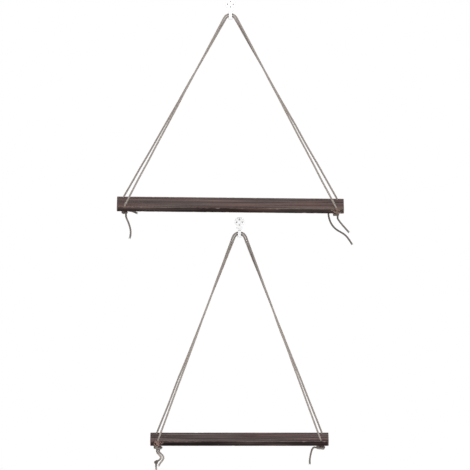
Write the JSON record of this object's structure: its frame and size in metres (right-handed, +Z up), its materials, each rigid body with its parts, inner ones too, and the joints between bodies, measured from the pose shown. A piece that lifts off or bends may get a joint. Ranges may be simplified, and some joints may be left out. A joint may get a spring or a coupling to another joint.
{
  "type": "hanging rope shelf",
  "caption": "Wall shelves of a stained board hung at its corners on knotted rope from a plastic wall hook, a longer one above a shorter one.",
  "frame": {"origin": "on the wall, behind the centre of the upper hook's disc", "axes": "+X to the right along the boards, +Y into the wall, +Z up"},
  "size_m": [0.5482, 0.1457, 1.116],
  "materials": {
    "hook_plastic": "moulded white plastic, satin",
    "pin_steel": "dull steel pin heads",
    "board_wood": "dark grey-brown stain, worn edges",
    "rope_fibre": "twisted natural fibre rope, three strands"
  },
  "bodies": {
    "wall_hooks": {"upper_hook": "hook_plastic", "upper_pin_top": "pin_steel", "upper_pin_right": "pin_steel", "upper_pin_bottom": "pin_steel", "upper_pin_left": "pin_steel", "lower_hook": "hook_plastic", "lower_pin_top": "pin_steel", "lower_pin_right": "pin_steel", "lower_pin_bottom": "pin_steel", "lower_pin_left": "pin_steel"},
    "upper_bights": {"upper_front_bight": "rope_fibre", "upper_rear_bight": "rope_fibre"},
    "upper_shelf": {"upper_board": "board_wood", "upper_front_left_strand": "rope_fibre", "upper_front_right_strand": "rope_fibre", "upper_rear_left_strand": "rope_fibre", "upper_rear_right_strand": "rope_fibre", "upper_front_left_knot": "rope_fibre", "upper_front_right_knot": "rope_fibre", "upper_rear_left_knot": "rope_fibre", "upper_rear_right_knot": "rope_fibre", "upper_front_left_end": "rope_fibre", "upper_front_right_end": "rope_fibre", "upper_rear_left_end": "rope_fibre", "upper_rear_right_end": "rope_fibre"},
    "lower_bights": {"lower_front_bight": "rope_fibre", "lower_rear_bight": "rope_fibre"},
    "lower_shelf": {"lower_board": "board_wood", "lower_front_left_strand": "rope_fibre", "lower_front_right_strand": "rope_fibre", "lower_rear_left_strand": "rope_fibre", "lower_rear_right_strand": "rope_fibre", "lower_front_left_knot": "rope_fibre", "lower_front_right_knot": "rope_fibre", "lower_rear_left_knot": "rope_fibre", "lower_rear_right_knot": "rope_fibre", "lower_front_left_short_end": "rope_fibre", "lower_front_left_run": "rope_fibre", "lower_front_left_end_knot": "rope_fibre", "lower_front_left_long_end": "rope_fibre", "lower_front_right_end": "rope_fibre", "lower_rear_left_end": "rope_fibre", "lower_rear_right_end": "rope_fibre"}
  },
  "joints": [
    {"name": "upper_swing_side", "type": "hinge", "parent": "wall_hooks", "child": "upper_bights", "pos_m": [0, -0.00575, -0.0252], "axis": [0, 1, 0], "range_deg": [-8, 8]},
    {"name": "upper_swing_out", "type": "hinge", "parent": "upper_bights", "child": "upper_shelf", "pos_m": [0, -0.00575, -0.0252], "axis": [-1, 0, 0], "range_deg": [0, 60]},
    {"name": "lower_swing_side", "type": "hinge", "parent": "wall_hooks", "child": "lower_bights", "pos_m": [0.021, -0.00575, -0.5382], "axis": [0, 1, 0], "range_deg": [-8, 8]},
    {"name": "lower_swing_out", "type": "hinge", "parent": "lower_bights", "child": "lower_shelf", "pos_m": [0.021, -0.00575, -0.5382], "axis": [-1, 0, 0], "range_deg": [0, 60]}
  ]
}
